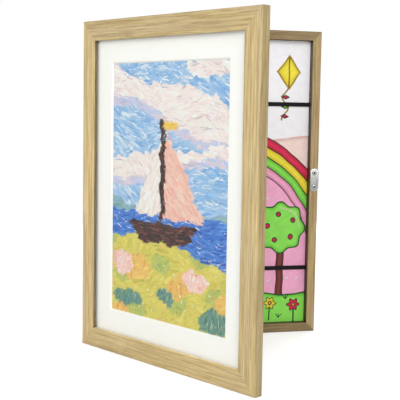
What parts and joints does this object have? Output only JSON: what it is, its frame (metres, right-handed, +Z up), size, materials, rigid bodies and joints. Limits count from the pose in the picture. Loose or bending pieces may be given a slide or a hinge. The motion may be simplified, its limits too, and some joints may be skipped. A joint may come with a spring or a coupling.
{
  "type": "children's art frame",
  "caption": "Front-opening picture frame: a shallow wooden box stores drawings behind elastic straps, and a hinged, glazed and matted door shows one picture.",
  "frame": {"origin": "middle of the underside of the box, at its half depth", "axes": "+Z up, -Y out of the front of the box, +X towards the catch side; the door is hinged at the -X edge"},
  "size_m": [0.2601, 0.2481, 0.33],
  "materials": {
    "oak": "fine straight grain, satin",
    "glazing": "clear sheet, glossy",
    "mat": "matt white board with a bevelled window",
    "picture": "painted paper",
    "drawing": "coloured paper",
    "paper": "cut edges of loose sheets",
    "card": "grey-brown card",
    "board": "smooth brown hardboard",
    "elastic": "black woven elastic",
    "steel": "bright zinc plating",
    "brass": "brass plating",
    "magnet": "nickel plating"
  },
  "bodies": {
    "box": {"box_stile_left": "oak", "box_stile_right": "oak", "box_rail_bottom": "oak", "box_rail_top": "oak", "back_board": "board", "stored_drawings": "paper", "stored_drawing_top": "drawing", "strap_lower": "elastic", "strap_upper": "elastic", "strap_brad_lower_left": "steel", "strap_brad_lower_right": "steel", "strap_brad_upper_left": "steel", "strap_brad_upper_right": "steel", "board_point_left_1": "steel", "board_point_left_2": "steel", "board_point_right_1": "steel", "board_point_right_2": "steel", "board_point_bottom": "steel", "board_point_top": "steel", "hanger_upright": "brass", "hanger_lying": "brass", "hanger_nail_upright_1": "steel", "hanger_nail_upright_2": "steel", "hanger_nail_lying_1": "steel", "hanger_nail_lying_2": "steel", "strike_plate": "steel", "strike_screw_lower": "steel", "strike_screw_upper": "steel", "hinge_leaf_box_lower": "steel", "hinge_leaf_box_upper": "steel", "hinge_pin_lower": "steel", "hinge_pin_upper": "steel", "hinge_screw_box_lower_1": "steel", "hinge_screw_box_lower_2": "steel", "hinge_screw_box_upper_1": "steel", "hinge_screw_box_upper_2": "steel"},
    "door": {"door_stile_hinge": "oak", "door_stile_free": "oak", "door_rail_bottom": "oak", "door_rail_top": "oak", "glazing": "glazing", "mat_board": "mat", "shown_picture": "picture", "backing_card": "card", "door_tab_left_1": "steel", "door_tab_left_2": "steel", "door_tab_right_1": "steel", "door_tab_right_2": "steel", "door_tab_bottom": "steel", "door_tab_top": "steel", "door_magnet": "magnet", "hinge_leaf_door_lower": "steel", "hinge_leaf_door_upper": "steel", "hinge_screw_door_lower_1": "steel", "hinge_screw_door_lower_2": "steel", "hinge_screw_door_upper_1": "steel", "hinge_screw_door_upper_2": "steel"}
  },
  "joints": [
    {"name": "door_hinge", "type": "hinge", "parent": "box", "child": "door", "pos_m": [-0.1268, -0.0112, 0.165], "axis": [0, 0, -1], "range_deg": [-62, 118]}
  ]
}
